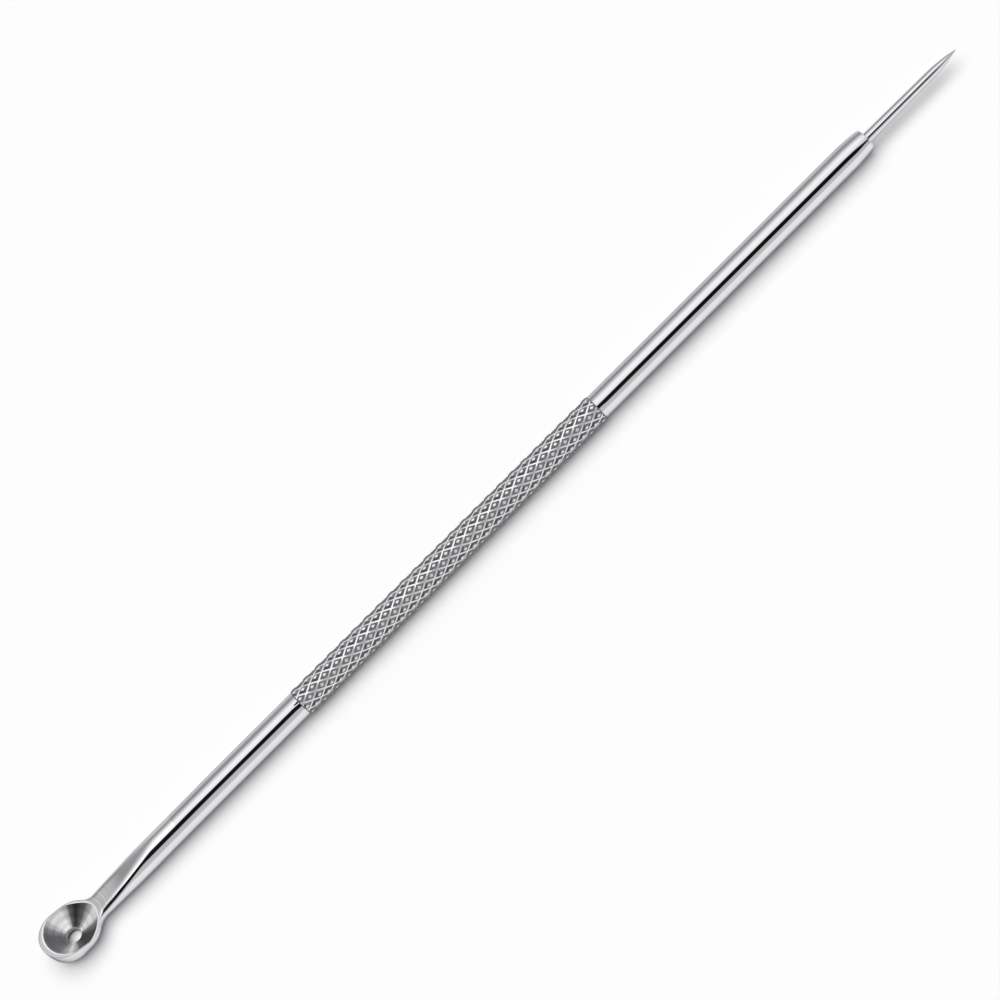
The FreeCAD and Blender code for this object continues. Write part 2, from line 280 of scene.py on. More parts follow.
search = {  # brackets for solve, in millimetres
    "dishOut": (2.0, 6.0),
    "rimRun": (-0.5, 4.0),
    "innerRise": (-2.0, 2.5),
    "holeFoot": (-3.2, -1.45),
    "rayRun": (0.5, 8.0),
    "rimWidth": (0.0, 4.0),
    "neckRadius": (0.1, 4.5),
}

leanSin, leanCos = math.sin(spoon["dishLean"]), math.cos(spoon["dishLean"])


def cutHeight(along):  # rim line, valley arc, ramp, bend arc and run-out, each tangent to the next
    tilt, slope, runout = spoon["rimTilt"], ramp["slope"], ramp["runout"]
    dishAlong, dishUp = spoon["dishCenter"]
    rimLine = dishUp - (along - dishAlong) * math.tan(tilt)
    rampLine = ramp["footHeight"] + (along - ramp["foot"]) * math.tan(slope)
    meet = (dishUp + dishAlong * math.tan(tilt) - ramp["footHeight"] + ramp["foot"] * math.tan(slope))
    meet /= math.tan(tilt) + math.tan(slope)
    meetUp = dishUp - (meet - dishAlong) * math.tan(tilt)
    reach = ramp["valleyRound"] * math.tan((tilt + slope) / 2)
    valleyStart, valleyEnd = meet - reach * math.cos(tilt), meet + reach * math.cos(slope)
    valleyAt = valleyStart + ramp["valleyRound"] * math.sin(tilt)
    valleyUp = meetUp + reach * math.sin(tilt) + ramp["valleyRound"] * math.cos(tilt)
    valleyArc = valleyUp - np.sqrt(np.maximum(ramp["valleyRound"] ** 2 - (along - valleyAt) ** 2, 0))
    bendUp = ramp["footHeight"] + (ramp["bendAt"] - ramp["foot"]) * math.tan(slope)
    bendMiddle = ramp["bendAt"] + ramp["bendRound"] * math.sin(slope)
    bendEnd = bendMiddle - ramp["bendRound"] * math.sin(runout)
    bendBase = bendUp - ramp["bendRound"] * math.cos(slope)
    bendArc = bendBase + np.sqrt(np.maximum(ramp["bendRound"] ** 2 - (along - bendMiddle) ** 2, 0))
    runoutLine = bendBase + ramp["bendRound"] * math.cos(runout) + (along - bendEnd) * math.tan(runout)
    return np.select([along < valleyStart, along < valleyEnd, along < ramp["bendAt"], along < bendEnd],
                     [rimLine, valleyArc, rampLine, bendArc], runoutLine)


def bowlDistance(points):  # slot in plan with bowed sides, rounded into a floor that rises to the heel
    along, across, up = points[..., 0], points[..., 1], points[..., 2]
    past = np.maximum(along - spoon["heelAt"], 0) + np.minimum(along - spoon["bowlAt"], 0)
    share = np.clip((along - spoon["bowlAt"]) / (spoon["heelAt"] - spoon["bowlAt"]), 0, 1)
    floor = mix(spoon["bowlFloor"], spoon["heelFloor"], share)
    rise = np.clip(up + floor - spoon["floorRound"], 0, spoon["bowLimit"] * spoon["sideCurve"])
    bow = spoon["sideCurve"] - np.sqrt(spoon["sideCurve"] ** 2 - rise ** 2)
    out = np.hypot(past, across) - spoon["bowlRadius"] + spoon["floorRound"] + bow
    down = spoon["floorRound"] - floor - up
    outside = np.hypot(np.maximum(out, 0), np.maximum(down, 0))
    return outside + np.minimum(np.maximum(out, down), 0) - spoon["floorRound"]


def neckDistance(points):  # distance to the round neck, closed by a ball inside the bowl
    along, across, up = points[..., 0], points[..., 1], points[..., 2]
    short = np.maximum(neck["along"][0] - along, 0)
    return np.sqrt(across ** 2 + (up - neckMiddle(along)) ** 2 + short ** 2) - neckRadius(along)


def bodyDistance(points):  # smooth union: the smaller distance, less a parabola where the two are close
    bowlGap, neckGap = bowlDistance(points), neckDistance(points)
    width = mix(spoon["filletLow"], spoon["filletHigh"], ease(points[..., 2], *spoon["filletRise"]))
    near = np.maximum(width - np.abs(bowlGap - neckGap), 0) / width
    return np.minimum(bowlGap, neckGap) - near ** 2 * width / 4


def aboveCut(points):
    return points[..., 2] - cutHeight(points[..., 0])


neckCut = curveThrough(neck["cutAlong"], neck["cut"])


def neckSkin(points):  # smooth intersection of the body and the space below a twisted cut
    along = points[..., 0]
    share = ease(along, neck["cutAlong"][0], neck["cutAlong"][1] + neck["cutJoin"])
    cutUp = mix(cutHeight(along), neckCut(along), share)
    twist = np.interp(along, neck["cutAlong"], neck["twist"])
    body, cut = bodyDistance(points), points[..., 2] - cutUp + points[..., 1] * twist
    blend = np.interp(along, neck["blendAlong"], neck["blend"])
    near = np.maximum(blend - np.abs(body - cut), 0) / blend
    return np.maximum(body, cut) + near ** 2 * blend / 4


def rimWidth(along):  # half the body's width where the cut meets it
    return solve(lambda across: bodyDistance(place(along, across, cutHeight(along))), *search["rimWidth"])


def dishPlace(out, rise, angle):  # point about the dish's leaning axis
    dishAlong, dishUp = spoon["dishCenter"]
    forward = out * np.cos(angle)
    return place(dishAlong + forward * leanCos + rise * leanSin, out * np.sin(angle),
                 dishUp - forward * leanSin + rise * leanCos)


def dishRise(out):  # arc from the rim down to the hole, carried on above the rim by its tangent
    chord = np.array([spoon["holeRadius"] - spoon["dishRadius"], -spoon["dishDepth"]])
    length = math.hypot(*chord)
    centerOut = (spoon["dishRadius"] + spoon["holeRadius"]) / 2
    centerUp = -spoon["dishDepth"] / 2
    lift = math.sqrt(spoon["dishCurve"] ** 2 - length ** 2 / 4) / length
    centerOut, centerUp = centerOut + chord[1] * lift, centerUp - chord[0] * lift
    inward = np.minimum(out, spoon["dishRadius"]) - centerOut
    arc = centerUp - np.sqrt(spoon["dishCurve"] ** 2 - inward ** 2)
    tangent = (spoon["dishRadius"] - centerOut) / centerUp
    return arc + np.maximum(out - spoon["dishRadius"], 0) * tangent


def roundEdge(start, corner, end, rows):  # quadratic curve from start to end, pulled towards the corner
    share = np.linspace(0, 1, rows + 1)[:, None, None]
    return (1 - share) ** 2 * start + 2 * share * (1 - share) * corner + share ** 2 * end


def addSpoon(shell):
    sector, sectorColumns, rimColumns = spoon["sector"], spoon["sectorColumns"], spoon["rimColumns"]
    angle = np.concatenate([np.linspace(-sector, sector, sectorColumns + 1)[:-1],
                            np.linspace(sector, 2 * math.pi - sector, rimColumns + 1)[:-1]])
    turn = np.append(angle, angle[0] + 2 * math.pi) / (2 * math.pi)
    forward, sideways = np.cos(angle), np.sin(angle)
    inSector = np.arange(len(angle)) <= sectorColumns

    # where the dish meets the cut, and where the cut meets the outside
    dishOut = solve(lambda out: aboveCut(dishPlace(out, dishRise(out), angle)), *search["dishOut"])
    dishEdge = dishPlace(dishOut, dishRise(dishOut), angle)

    def onCut(run):
        along = dishEdge[:, 0] + run * forward
        return place(along, dishEdge[:, 1] + run * sideways, cutHeight(along))

    leastRun, mostRun = search["rimRun"]
    mostRun = np.where(inSector, spoon["sectorReach"], mostRun)
    rimRun = solve(lambda run: bodyDistance(onCut(run)), leastRun, mostRun)
    rimRun = np.where(inSector, rimRun[sectorColumns], rimRun)
    lack = np.maximum(spoon["lipLeast"] - rimRun, 0)  # a thin rim keeps its outside and loses dish
    innerOut = dishOut - lack
    innerRise = solve(lambda rise: aboveCut(dishPlace(innerOut, rise, angle)), *search["innerRise"])
    lift = innerRise - dishRise(innerOut)

    # neck line: across the ramp between the two corners of the sector, bowed as far as the dish needs
    lipEdge = spoon["lipEdge"]
    rim = onCut(rimRun)
    landEnd = onCut(rimRun - lipEdge)
    corner = landEnd[sectorColumns]
    lineShare = np.linspace(-1, 1, sectorColumns + 1)
    bulge = max(dishEdge[:sectorColumns + 1, 0].max() + spoon["lipLeast"] + lipEdge - corner[0], 0)
    lineAlong = corner[0] + bulge * (1 - lineShare ** 2)
    landEnd[:sectorColumns + 1] = place(lineAlong, lineShare * corner[1], cutHeight(lineAlong))

    # dish, from the hole's edge to the rim
    holeRadius, holeEdge = spoon["holeRadius"], spoon["holeEdge"]
    share = np.linspace(0, 1, spoon["dishRows"] + 1)[:, None]
    edgeOut = innerOut - spoon["lipInner"]
    out = mix(holeRadius + holeEdge, edgeOut, share)
    dish = dishPlace(out, dishRise(out) + lift * share ** spoon["liftPower"], angle)
    outLabels = np.pad(out[::-1], ((0, 0), (0, 1)), mode="edge")
    shell.grid(dish[::-1], "dishSteel", turn, outLabels, wrap=True)

    # land of the rim, with a small round at its inner edge that carries a painted highlight
    innerCorner = dishPlace(innerOut, innerRise, angle)
    landStart = mix(innerCorner, landEnd, spoon["landInner"])
    inner = roundEdge(dish[-1], innerCorner, landStart, spoon["innerRows"])
    land = mix(landStart, landEnd, np.linspace(0, 1, spoon["landRows"] + 1)[:, None, None])
    land[..., 2] = cutHeight(land[..., 0])
    land[0] = inner[-1]
    shell.grid(inner[::-1], "edgeHighlightSteel", turn, 0.0, wrap=True)
    shell.grid(land[::-1], "polishedSteel", turn, 0.0, wrap=True)

    # hole: wall along the dish's axis with both edges broken
    def footAt(out):  # height at which a wall of this radius leaves the underside
        return solve(lambda rise: -bodyDistance(dishPlace(out, rise, angle)), *search["holeFoot"])

    brim = dishPlace(holeRadius + holeEdge, footAt(holeRadius + holeEdge), angle)
    wallTop = dishRise(holeRadius) - holeEdge
    holeShare = np.linspace(0, 1, spoon["holeRows"] + 1)[:, None]
    wall = dishPlace(holeRadius, mix(footAt(holeRadius) + holeEdge, wallTop, holeShare), angle)
    hole = np.concatenate([brim[None], wall, dish[:1]])
    shell.grid(hole[::-1], "dishSteel", turn, np.linspace(0, -1, len(hole))[:, None], wrap=True)

    # outside: rays from an eye above the rim, each carried to where it leaves the body
    eye = dishPlace(0.0, spoon["eyeHeight"], 0.0)

    def swept(drop, angles):
        outward = np.sin(drop)
        ray = dishPlace(outward, spoon["eyeHeight"] - np.cos(drop), angles) - eye
        run = solve(lambda run: bodyDistance(eye + ray * run[..., None]), *search["rayRun"])
        return eye + ray * run[..., None]

    def dropTo(points):  # angle between the eye's downward axis and the point
        seen = points - eye
        down = -(seen[..., 0] * leanSin + seen[..., 2] * leanCos)
        return np.arctan2(np.hypot(seen[..., 0] * leanCos - seen[..., 2] * leanSin, seen[..., 1]), down)

    around = np.abs((angle + math.pi) % (2 * math.pi) - math.pi)
    nearNeck = 1 - ease(around, *spoon["underFade"])
    underDrop = np.radians(spoon["underDrop"] + spoon["underExtra"] * nearNeck)
    brimDrop = dropTo(brim)
    under = swept(mix(brimDrop, underDrop, np.linspace(0, 1, spoon["undersideRows"] + 1)[:, None]), angle)
    under[0] = brim
    shell.grid(under, "polishedSteel", turn, 0.0, wrap=True)

    rimPart = np.append(np.arange(sectorColumns, len(angle)), 0)  # columns from corner round to corner
    wallAngle = angle[rimPart]
    edgeRows = spoon["edgeRows"]
    rimDrop = dropTo(rim[rimPart])
    wallDrop = rimDrop - lipEdge * spoon["edgeShare"] / np.linalg.norm(rim[rimPart] - eye, axis=-1)
    wallShare = np.linspace(0, 1, spoon["wallRows"] - edgeRows + 1)[:, None]
    side = swept(mix(wallDrop, underDrop[rimPart], wallShare), wallAngle)
    side[-1] = under[-1][rimPart]
    edge = roundEdge(landEnd[rimPart], rim[rimPart], side[0], edgeRows)
    wallAll = np.concatenate([edge, side[1:]])
    shell.grid(wallAll[::-1], "polishedSteel", turn[sectorColumns:], 0.0)

    # loop round the neck, from one corner over the ramp, down a side, under the neck and up again
    top = landEnd[:sectorColumns + 1][::-1]
    left = wallAll[:, -1]
    bottom = under[-1][:sectorColumns + 1]
    right = wallAll[::-1, 0]
    return np.concatenate([top[:-1], left[:-1], bottom[:-1], right[:-1]])


def evenTurns():  # angles that stand evenly round the bar, with the ramp's columns about the top
    columns = bar["columns"]
    return math.pi / 2 + 2 * math.pi * (np.arange(columns) - spoon["sectorColumns"] / 2) / columns


def addNeck(shell, loop):  # rings from the spoon's loop to the round bar, by rays from the neck's middle
    columns, flatCount, rows = bar["columns"], spoon["sectorColumns"], neck["rows"]
    share = (np.arange(rows + 1) / rows)[:, None]
    station = mix(loop[0, 0], neck["end"], share)
    along = station + (loop[:, 0] - loop[0, 0]) * (1 - ease(share, 0, neck["loopFade"]))
    middle = neckMiddle(along)

    # the ramp's columns keep to the ramp's edges, then all columns spread evenly
    loopTurn = np.unwrap(np.arctan2(loop[:, 2] - middle[0], loop[:, 1]))
    evenTurn = evenTurns()
    edge = np.arctan2(cutHeight(station) - neckMiddle(station), rimWidth(station))
    edge = np.minimum(edge, evenTurn[0])
    quarter = math.pi / 2
    onFlat = quarter + (loopTurn - quarter) * (quarter - edge) / (quarter - loopTurn[0])
    below = 3 * quarter + (loopTurn - 3 * quarter) * (quarter + edge) / (quarter + loopTurn[0])
    turn = np.where(np.arange(columns) <= flatCount, onFlat, below)
    turn = mix(turn, evenTurn, ease(share, neck["spreadFrom"], 1))

    def atRadius(radius):
        return place(along, radius * np.cos(turn), middle + radius * np.sin(turn))

    points = atRadius(solve(lambda radius: neckSkin(atRadius(radius)), *search["neckRadius"]))
    points[0] = loop
    turns = np.linspace(0, 1, columns + 1)
    for finish, first, last in (("rampSteel", 0, flatCount), ("polishedSteel", flatCount, columns)):
        span = np.arange(first, last + 1)
        shell.grid(points[:, span % columns], finish, turns[span], station)
    return points[-1]


def addBar(shell, ring):  # round rings of the bar, knurl and nose, then the blind bore
    columns, shankStep = bar["columns"], bar["shankStep"]
    topColumn = spoon["sectorColumns"] // 2
    evenTurn = evenTurns()
    knurlEnd = knurl["start"] + knurl["length"]
    lastStation = neck["along"][-1]
    bend = np.linspace(neck["end"], lastStation, bar["bendRows"])[1:]
    straight = np.arange(lastStation + shankStep, knurl["start"], shankStep)
    firstShank = np.concatenate([bend, straight, [knurl["start"]]])

    def ringsAt(along, radius, turn, middle=0.0):
        return place(along, radius * np.cos(turn), middle + radius * np.sin(turn))

    turns = np.linspace(0, 1, columns + 1)
    shank = firstShank[:, None]
    first = ringsAt(shank, neckRadius(shank), evenTurn, neckMiddle(shank))
    labels = np.append(neck["end"], firstShank)[:, None]
    shell.grid(np.concatenate([ring[None], first]), "polishedSteel", turns, labels, wrap=True)

    # knurl: two families of helical grooves, so the height follows the distance to the nearer groove
    cells = knurl["cells"]
    rings = knurl["halfPitches"] * cells
    row, column = np.arange(rings + 1)[:, None], np.arange(columns)[None]
    knurlAlong = knurl["start"] + knurl["length"] * row / rings
    step = column - (topColumn + columns // 2)  # columns from the middle of a row of diamonds
    count = row - knurl["moveCells"]

    def grooveDistance(cell):
        return np.abs((cell + cells) % (2 * cells) - cells)

    up = cells - grooveDistance(count + step)
    down = cells - grooveDistance(count - step)
    nearer = np.minimum(up, down)
    height = nearer / cells
    risen = np.clip((height - knurl["floorShare"]) / (1 - knurl["landShare"] - knurl["floorShare"]), 0, 1)
    knurlRadius = crestRadius - knurl["depth"] * (1 - risen)
    ends = (row == 0) | (row == rings)
    knurlRadius = np.where(ends, bar["radius"], knurlRadius)
    knurlRings = ringsAt(knurlAlong, knurlRadius, evenTurn)
    wrapped = np.concatenate([nearer, nearer[:, :1]], axis=1)
    fall = np.abs(wrapped[:-1, :-1] - wrapped[1:, 1:]) <= np.abs(wrapped[:-1, 1:] - wrapped[1:, :-1])
    shell.grid(knurlRings, "knurlSteel", turns, knurlAlong, wrap=True, split=fall)

    # second shank, tapered nose with a rounded edge, and the bore that holds the needle
    noseStart = noseEnd - nose["length"]
    secondShank = np.append(np.arange(knurlEnd, noseStart, shankStep), noseStart)
    run = nose["length"] - nose["edge"]
    drop = bar["radius"] - nose["radius"]
    noseRound = (run ** 2 + drop ** 2) / (2 * drop)
    taperAlong = np.linspace(0, run, nose["rows"])[1:]
    taper = bar["radius"] - noseRound + np.sqrt(noseRound ** 2 - taperAlong ** 2)
    quarter = np.linspace(0, math.pi / 2, nose["edgeRows"])[1:]
    lipAlong = run + nose["edge"] * np.sin(quarter)
    lip = nose["radius"] - nose["edge"] * (1 - np.cos(quarter))
    mouth = nose["boreRadius"]
    boreAlong = np.linspace(noseEnd - nose["boreFirst"], noseEnd - nose["boreDepth"], nose["boreRows"])
    alongAll = np.concatenate([secondShank, noseStart + taperAlong, noseStart + lipAlong,
                               [noseEnd, noseEnd, noseEnd - nose["boreEdge"]], boreAlong, boreAlong[-1:]])
    radiusAll = np.concatenate([np.full(len(secondShank), bar["radius"]), taper, lip,
                                [mix(lip[-1], mouth, 0.5), mouth + nose["boreEdge"], mouth],
                                np.full(len(boreAlong), mouth), [0.0]])
    endRings = ringsAt(alongAll[:, None], radiusAll[:, None], evenTurn)
    shell.grid(endRings, "polishedSteel", turns, alongAll[:, None], wrap=True)


# Needle: lathed tang, tapered shank and long round point

needle = {
    "radius": 0.64,
    "pointRadius": 0.55,
    "pointLength": 5.4,
    "fullness": 2.7,
    "tangEdge": 0.15,
    "columns": 96,
    "shankRows": 24,
    "pointRows": 40,
}


def addNeedle(shell):  # radius as a function of the distance along, turned about the bar's axis
    tangEnd = (needleLow[0] - tipX) / mm
    pointStart = overallLength - needle["pointLength"]
    shank = np.linspace(noseEnd, pointStart, needle["shankRows"])
    pointRun = needle["pointLength"] * np.sin(np.linspace(0, math.pi / 2, needle["pointRows"] + 1))[1:]
    point = needle["pointRadius"] * (1 - (pointRun / needle["pointLength"]) ** needle["fullness"])
    along = np.concatenate([[tangEnd, tangEnd, tangEnd + needle["tangEdge"]], shank, pointStart + pointRun])
    shankRadius = np.linspace(needle["radius"], needle["pointRadius"], len(shank))
    radius = np.concatenate([[0.0, needle["radius"] - needle["tangEdge"], needle["radius"]],
                             shankRadius, np.maximum(point, 0)])
    turn = 2 * math.pi * np.arange(needle["columns"]) / needle["columns"]
    rings = place(along[:, None], radius[:, None] * np.cos(turn), radius[:, None] * np.sin(turn))
    turns = np.linspace(0, 1, needle["columns"] + 1)
    shell.grid(rings, "needleSteel", turns, along[:, None], wrap=True)


# Shader helpers: a value is a number or a socket to link

def feed(tree, value, socket):
    if isinstance(value, bpy.types.NodeSocket):
        tree.links.new(value, socket)
    else:
        socket.default_value = value


def calc(tree, operation, *values):
    node = tree.nodes.new("ShaderNodeMath")
    node.operation = operation
    for value, socket in zip(values, node.inputs):
        feed(tree, value, socket)
    return node.outputs[0]


def remap(tree, value, source, target):  # smooth step from one range to another, held beyond its ends
    node = tree.nodes.new("ShaderNodeMapRange")
    node.interpolation_type = "SMOOTHSTEP"
    for number, socket in zip((value, *source, *target), node.inputs):
        feed(tree, number, socket)
    return node.outputs[0]


def noise(tree, vector, scale, detail):
    node = tree.nodes.new("ShaderNodeTexNoise")
    node.inputs["Detail"].default_value = detail
    feed(tree, scale, node.inputs["Scale"])
    tree.links.new(vector, node.inputs["Vector"])
    return node.outputs["Fac"]


def blendColor(tree, share, first, second, kind="MIX"):
    node = tree.nodes.new("ShaderNodeMix")
    node.data_type = "RGBA"
    node.blend_type = kind
    sockets = node.inputs[0], node.inputs[6], node.inputs[7]  # the share and the two colours
    for value, socket in zip((share, first, second), sockets):
        feed(tree, value, socket)
    return node.outputs[2]


def newGroup(name, inputs, outputs):
    tree = bpy.data.node_groups.new(name, "ShaderNodeTree")
    for label, kind, value in inputs:
        tree.interface.new_socket(label, in_out="INPUT", socket_type=kind).default_value = value
    for label, kind in outputs:
        tree.interface.new_socket(label, in_out="OUTPUT", socket_type=kind)
    return tree, tree.nodes.new("NodeGroupInput").outputs, tree.nodes.new("NodeGroupOutput").inputs


def useGroup(tree, group, **values):
    node = tree.nodes.new("ShaderNodeGroup")
    node.node_tree = group
    for label, value in values.items():
        feed(tree, value, node.inputs[label])
    return node.outputs


def weigh(tree, values, shares):  # sum of two values, each times its share
    return calc(tree, "ADD", *[calc(tree, "MULTIPLY", *pair) for pair in zip(values, shares)])


def splitVector(tree, vector):
    node = tree.nodes.new("ShaderNodeSeparateXYZ")
    tree.links.new(vector, node.inputs[0])
    return node.outputs


def greyRamp(tree, stops, kind):  # colour ramp with a grey level at each position
    node = tree.nodes.new("ShaderNodeValToRGB")
    node.color_ramp.interpolation = kind
    elements = node.color_ramp.elements
    while len(elements) < len(stops):
        elements.new(0.5)
    for element, (position, level) in zip(elements, stops):
        element.position = position
        element.color = (level, level, level, 1)
    return node


# Steel grain: cloudy haze and a fine speckle that shift the colour and the roughness a little

grain = {
    "cloud": (420.0, 4.0),  # scale and detail of the noise
    "speckle": (9000.0, 2.0),
    "hazeShares": (0.75, 0.25),  # of cloud and speckle
    "span": (0.3, 0.7),  # noise levels that stand for none and all
    "cool": (0.965, 0.965, 1.0, 1),
    "warm": (1.0, 0.99, 0.975, 1),
}


def makeGrain():
    tree, given, made = newGroup("steelGrain",
                                 [("Base", "NodeSocketColor", (0.8, 0.8, 0.8, 1)),
                                  ("Smooth", "NodeSocketFloat", 0.06), ("Dull", "NodeSocketFloat", 0.1)],
                                 [("Color", "NodeSocketColor"), ("Roughness", "NodeSocketFloat")])
    point = tree.nodes.new("ShaderNodeTexCoord").outputs["Object"]
    cloud = noise(tree, point, *grain["cloud"])
    speckle = noise(tree, point, *grain["speckle"])
    haze = weigh(tree, (cloud, speckle), grain["hazeShares"])
    tint = blendColor(tree, remap(tree, cloud, grain["span"], (0.0, 1.0)), grain["cool"], grain["warm"])
    feed(tree, blendColor(tree, 1.0, given["Base"], tint, "MULTIPLY"), made["Color"])
    feed(tree, remap(tree, haze, grain["span"], (given["Smooth"], given["Dull"])), made["Roughness"])
    return tree


# Tool marks: fine lines left across the way a tool ran, wandering a little along their length

toolMarks = {
    "factors": (1.0, 0.27),  # fine lines and broader bands
    "detail": 3.0,
    "heightShares": (0.55, 0.45),
    "wearShares": (0.75, 0.25),
    "wearSpan": (0.4, 0.6),
}


def makeMarks():
    tree, given, made = newGroup("toolMarks",
                                 [("Run", "NodeSocketFloat", 0.0), ("Turn", "NodeSocketFloat", 0.0),
                                  ("Density", "NodeSocketFloat", 6.0), ("Wander", "NodeSocketFloat", 1.0)],
                                 [("Height", "NodeSocketFloat"), ("Wear", "NodeSocketFloat")])
    angle = calc(tree, "MULTIPLY", given["Turn"], 2 * math.pi)
    run = calc(tree, "MULTIPLY", given["Run"], given["Density"])
    waves = [calc(tree, kind, angle) for kind in ("COSINE", "SINE")]
    sideways = [calc(tree, "MULTIPLY", wave, given["Wander"]) for wave in waves]
    parts = []
    for factor in toolMarks["factors"]:
        joined = tree.nodes.new("ShaderNodeCombineXYZ")
        for value, socket in zip((calc(tree, "MULTIPLY", run, factor), *sideways), joined.inputs):
            feed(tree, value, socket)
        parts.append(noise(tree, joined.outputs[0], 1.0, toolMarks["detail"]))
    feed(tree, weigh(tree, parts, toolMarks["heightShares"]), made["Height"])
    wear = weigh(tree, parts, toolMarks["wearShares"])
    feed(tree, remap(tree, wear, toolMarks["wearSpan"], (0.0, 1.0)), made["Wear"])
    return tree


grainGroup, marksGroup = makeGrain(), makeMarks()

markHeight = 0.00002  # in metres
wornColor = (0.14, 0.14, 0.145, 1)
edgeBlue = 1.03  # steel seen at a grazing angle is this much bluer

finishes = {
    "polishedSteel": {"base": (0.8, 0.795, 0.82), "smooth": 0.03, "dull": 0.06, "edge": 0.3},
    "dishSteel": {"base": (0.98, 0.98, 0.99), "smooth": 0.28, "dull": 0.36, "edge": 0.5, "metal": 0.1,
                  "density": 4.2, "wander": 0.3, "bump": 0.4, "wear": 0.28,
                  # levels by angle round the dish: painted reflection, the bright and dark sectors of a
                  # turned cone; the low metal lets them show
                  "paintedSheen": [(-180, 0.17), (-152, 0.2), (-136, 0.42), (-121, 0.8), (-108, 0.48), (-95, 0.1),
                              (-75, 0.02), (-45, 0.025), (-28, 0.14), (-12, 0.72), (0, 0.78), (11, 0.4),
                              (26, 0.11), (46, 0.03), (60, 0.12), (73, 0.65), (84, 1.0), (111, 1.0),
                              (124, 0.7), (138, 0.3), (155, 0.17)],
                  # hole levels: painted shade on the hole's wall, dimmer overall and darker towards its
                  # bottom
                  "holePaintedLight": 0.5, "holePaintedShade": 0.02, "holeShadeBand": (-0.68, -0.5), "holeLabel": -0.01},
    "rampSteel": {"base": (0.95, 0.95, 0.96), "smooth": 0.13, "dull": 0.2, "edge": 0.3,
                  "density": 4.0, "wander": 0.2, "bump": 0.35, "wear": 0.24, "satinEnd": (9.2, 11.0),
                  "polish": -0.1},
    "knurlSteel": {"base": (0.97, 0.965, 0.98), "smooth": 0.16, "dull": 0.26, "edge": 0.3, "metal": 0.6,
                   # flank levels: painted shade on the diamonds' flanks; the partly diffuse steel shows
                   # lands and groove floors near white, a painted highlight
                   "flank": 0.2, "flankShadeColor": (0.04, 0.04, 0.045, 1),
                   "landEnd": (0.02, 0.16), "floorStart": (0.84, 0.97)},  # shares of the knurl's depth
    "needleSteel": {"base": (0.8, 0.8, 0.82), "smooth": 0.03, "dull": 0.06, "edge": 0.25,
                    "density": 9.0, "wander": 0.6, "bump": 0.06, "wear": 0.06},
    # near white, mostly diffuse copy of the steel: painted highlight on the rim's inner round
    "edgeHighlightSteel": {"base": (0.98, 0.98, 0.98), "smooth": 0.12, "dull": 0.2, "edge": 0.6, "metal": 0.2},
}


def drawMarks(tree, shader, finish, labels, color, roughness):  # fine lines, as a bump and as wear
    lines = useGroup(tree, marksGroup, Run=labels[1], Turn=labels[0], Density=finish["density"],
                     Wander=finish["wander"])
    height, wear = lines["Height"], lines["Wear"]
    if "satinEnd" in finish:  # the satin fades into the polish farther up the ramp
        satin = remap(tree, labels[1], finish["satinEnd"], (1.0, 0.0))
        height, wear = calc(tree, "MULTIPLY", height, satin), calc(tree, "MULTIPLY", wear, satin)
        polish = remap(tree, labels[1], finish["satinEnd"], (0.0, finish["polish"]))
        roughness = calc(tree, "ADD", roughness, polish)
    bump = tree.nodes.new("ShaderNodeBump")
    bump.inputs["Strength"].default_value = finish["bump"]
    bump.inputs["Distance"].default_value = markHeight
    tree.links.new(height, bump.inputs["Height"])
    tree.links.new(bump.outputs[0], shader.inputs["Normal"])
    return blendColor(tree, calc(tree, "MULTIPLY", wear, finish["wear"]), color, wornColor), roughness


def paintDishSheenAndShade(tree, finish, labels, color):  # painted reflection: brighter and darker sectors round the dish, and painted shade on the wall of the hole, darker towards its bottom
    stops = sorted(((angle / 360) % 1, level) for angle, level in finish["paintedSheen"])  # in turns
    ring = greyRamp(tree, stops + [(1.0, stops[0][1])], "EASE")
    tree.links.new(calc(tree, "FRACT", labels[0]), ring.inputs[0])
    # painted shade on the hole's wall, darker towards its bottom
    wall = remap(tree, labels[1], finish["holeShadeBand"], (finish["holePaintedShade"], finish["holePaintedLight"]))
    inHole = calc(tree, "LESS_THAN", labels[1], finish["holeLabel"])  # labels in the hole run from 0 to -1
    return blendColor(tree, 1.0, color, blendColor(tree, inHole, ring.outputs[0], wall), "MULTIPLY")


def shadeFlanks(tree, finish, color):  # painted shade: the diamonds' flanks darker than lands and groove floors
    _, across, up = splitVector(tree, tree.nodes.new("ShaderNodeTexCoord").outputs["Object"])
    side = calc(tree, "POWER", across, 2.0)
    rise = calc(tree, "POWER", calc(tree, "SUBTRACT", up, axisZ), 2.0)
    radius = calc(tree, "DIVIDE", calc(tree, "SQRT", calc(tree, "ADD", side, rise)), mm)
    share = calc(tree, "DIVIDE", calc(tree, "SUBTRACT", crestRadius, radius), knurl["depth"])
    flank = calc(tree, "MINIMUM", remap(tree, share, finish["landEnd"], (0.0, 1.0)),
                 remap(tree, share, finish["floorStart"], (1.0, 0.0)))
    dull = calc(tree, "MULTIPLY", flank, 1 - finish["flank"])
    return blendColor(tree, dull, color, finish["flankShadeColor"])


